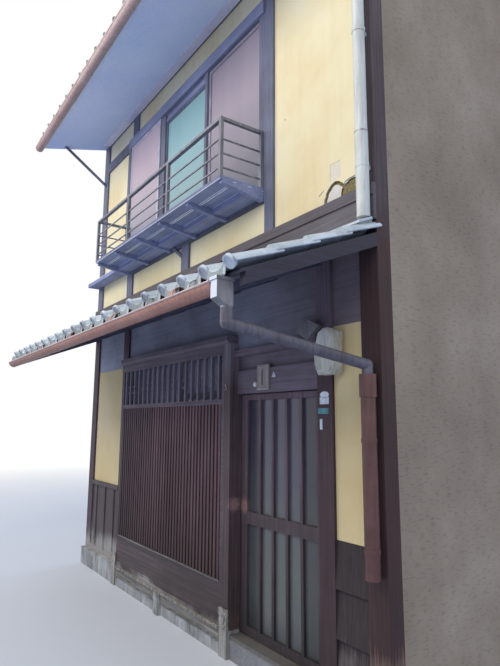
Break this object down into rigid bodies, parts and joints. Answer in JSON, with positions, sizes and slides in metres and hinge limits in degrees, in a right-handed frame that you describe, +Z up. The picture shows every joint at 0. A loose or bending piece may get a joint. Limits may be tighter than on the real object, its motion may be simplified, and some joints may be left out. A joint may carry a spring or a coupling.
{
  "type": "machiya townhouse",
  "caption": "Two-storey timber townhouse of a row: lattice front, sliding entrance door, tiled pent roof, railed upper balcony, gable roof and plain party walls.",
  "frame": {"origin": "on the ground, at the middle of the building's box", "axes": "+X along the street to the right as seen from it, +Y from the street into the house, +Z up; the street front faces -Y"},
  "size_m": [4.56, 8.96, 6.6928],
  "materials": {
    "concrete": "weathered cement plinth and slab, whitened at the foot",
    "stone": "worn grey stone threshold",
    "party_plaster": "plain earth plaster of the party walls",
    "yellow_plaster": "cream-yellow lime and earth plaster",
    "dark_timber": "old stained structural timber, blue-grey in shade",
    "brown_timber": "dark brown stained joinery",
    "lattice_timber": "red-brown weathered lattice bars",
    "weathered_board": "weathered boards, bleached at the foot",
    "floor_timber": "plain floorboards and joists",
    "clear_glass": "window glass",
    "curtained_glass": "glass closed by plain mauve and blue-green curtains",
    "soffit_board": "smooth painted soffit boards",
    "roof_tile": "smoked grey clay tiles",
    "copper": "orange-brown gutter, faded and stained",
    "grey_pipe": "grey rainwater goods",
    "brown_pipe": "red-brown rainwater pipes",
    "railing_iron": "grey painted iron railing, weathered",
    "meter_case": "pale grey moulded meter case"
  },
  "bodies": {
    "house": {"plinth": "concrete", "ground_floor": "concrete", "threshold": "stone", "left_party_wall": "party_plaster", "right_party_wall": "party_plaster", "front_posts": "dark_timber", "door_jambs": "brown_timber", "rear_posts": "dark_timber", "front_wainscots": "weathered_board", "lower_plaster": "yellow_plaster", "lattice_frame": "brown_timber", "skirt_board": "weathered_board", "lattice_lower": "lattice_timber", "lattice_upper": "brown_timber", "inner_screen": "brown_timber", "screen_glass": "clear_glass", "door_head": "brown_timber", "frieze_boards": "dark_timber", "wall_beams": "dark_timber", "flashing_boards": "dark_timber", "upper_plaster": "yellow_plaster", "window_frame": "dark_timber", "window_panes": "curtained_glass", "balcony_floor": "dark_timber", "balcony_railing": "railing_iron", "railing_returns": "railing_iron", "upper_floor": "floor_timber", "rear_plaster": "yellow_plaster", "rear_wainscots": "weathered_board", "rear_window_frames": "dark_timber", "rear_panes": "curtained_glass", "eave_soffits": "soffit_board", "roof_deck": "floor_timber", "roof_tiles": "roof_tile", "roof_ridge": "roof_tile", "gutters": "copper", "pent_rafters": "dark_timber", "pent_decks": "dark_timber", "pent_tiles": "roof_tile", "rain_hopper": "grey_pipe", "downpipes": "brown_pipe", "eave_strut": "dark_timber", "electric_meter": "meter_case"},
    "door": {"front_door": "brown_timber", "door_glass": "clear_glass"}
  },
  "joints": [
    {"name": "door_slide", "type": "slide", "parent": "house", "child": "door", "axis": [-1, 0, 0], "range_m": [0, 0.86]}
  ]
}
